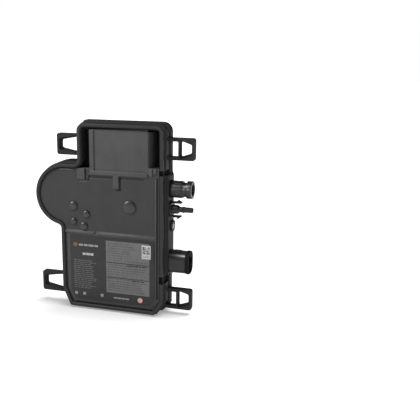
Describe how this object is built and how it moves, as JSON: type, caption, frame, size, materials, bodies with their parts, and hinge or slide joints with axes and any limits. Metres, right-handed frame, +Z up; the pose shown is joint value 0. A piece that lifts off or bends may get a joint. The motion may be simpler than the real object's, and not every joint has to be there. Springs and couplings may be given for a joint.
{
  "type": "solar microinverter",
  "caption": "Flat solar microinverter in a moulded black housing with a round bulge, slotted mounting ears, and DC and AC connectors along one side.",
  "frame": {"origin": "the middle of the housing's back face, level with the middle of its height and midway between the lower body's side walls", "axes": "+X to the right as the front is seen, towards the connectors; -Y out of the front; +Y out of the back face; +Z up"},
  "size_m": [0.1826, 0.0302, 0.212],
  "materials": {
    "black_plastic": "matte moulded",
    "connector_plastic": "semi-gloss moulded",
    "black_rubber": "matte",
    "tinned_copper": "tin plated",
    "enamelled_copper": "enamelled copper wire",
    "ferrite": "sintered",
    "label_film": "printed film",
    "label_paper": "printed film",
    "insulator": "moulded",
    "clear_plastic": "clear, polished",
    "led_chip": "matte",
    "board_laminate": "solder mask over glass-fibre laminate",
    "screw_steel": "zinc plated",
    "spreader_aluminium": "mill finish",
    "thermal_silicone": "soft gap pad",
    "capacitor_can": "sleeved can",
    "chip_epoxy": "moulded epoxy",
    "capacitor_film": "moulded case",
    "absorber_ceramic": "epoxy-dipped disc",
    "fuse_ceramic": "ceramic tube"
  },
  "bodies": {
    "inverter": {"ac_fuse": "fuse_ceramic", "ac_pin_1": "tinned_copper", "ac_pin_2": "tinned_copper", "ac_socket_housing": "connector_plastic", "ac_socket_insert": "insulator", "board_screw_1": "screw_steel", "board_screw_2": "screw_steel", "board_screw_3": "screw_steel", "board_screw_4": "screw_steel", "bulk_capacitor_1": "capacitor_can", "bulk_capacitor_2": "capacitor_can", "bulk_capacitor_3": "capacitor_can", "bulk_capacitor_4": "capacitor_can", "bulk_capacitor_5": "capacitor_can", "bulk_capacitor_6": "capacitor_can", "choke_core": "ferrite", "choke_winding_left": "enamelled_copper", "choke_winding_right": "enamelled_copper", "circuit_board": "board_laminate", "code_label": "label_paper", "control_chip": "chip_epoxy", "cover_gasket": "black_rubber", "dc_plug_contact": "tinned_copper", "dc_plug_housing": "connector_plastic", "dc_plug_nut": "connector_plastic", "dc_socket_contact": "tinned_copper", "dc_socket_housing": "connector_plastic", "dc_socket_nut": "connector_plastic", "fill_plug": "black_plastic", "filter_capacitor": "capacitor_film", "frame_gasket": "black_rubber", "front_cover": "black_plastic", "front_frame": "black_plastic", "heat_spreader": "spreader_aluminium", "led_bezel": "black_plastic", "led_light_pipe": "clear_plastic", "mounting_ear_lower_left": "black_plastic", "mounting_ear_lower_right": "black_plastic", "mounting_ear_upper_left": "black_plastic", "mounting_ear_upper_right": "black_plastic", "power_transistor_1": "chip_epoxy", "power_transistor_2": "chip_epoxy", "power_transistor_3": "chip_epoxy", "power_transistor_4": "chip_epoxy", "rating_label": "label_film", "rear_housing": "black_plastic", "status_led": "led_chip", "surge_absorber": "absorber_ceramic", "thermal_pad": "thermal_silicone", "transformer_core_front": "ferrite", "transformer_core_rear": "ferrite", "transformer_winding": "enamelled_copper", "vent_plug_1": "black_plastic", "vent_plug_2": "black_plastic", "vent_plug_3": "black_plastic", "vent_plug_4": "black_plastic"},
    "latch_arm_upper": {"latch_arm_upper": "connector_plastic"},
    "latch_arm_lower": {"latch_arm_lower": "connector_plastic"}
  },
  "joints": [
    {"name": "latch_arm_upper_bend", "type": "hinge", "parent": "inverter", "child": "latch_arm_upper", "pos_m": [0.0656, -0.0115, 0.0211], "axis": [0, 1, 0], "range_deg": [0, 8], "stiffness_Nm_per_rad": 0.2},
    {"name": "latch_arm_lower_bend", "type": "hinge", "parent": "inverter", "child": "latch_arm_lower", "pos_m": [0.0656, -0.0115, 0.0057], "axis": [0, -1, 0], "range_deg": [0, 8], "stiffness_Nm_per_rad": 0.2}
  ]
}
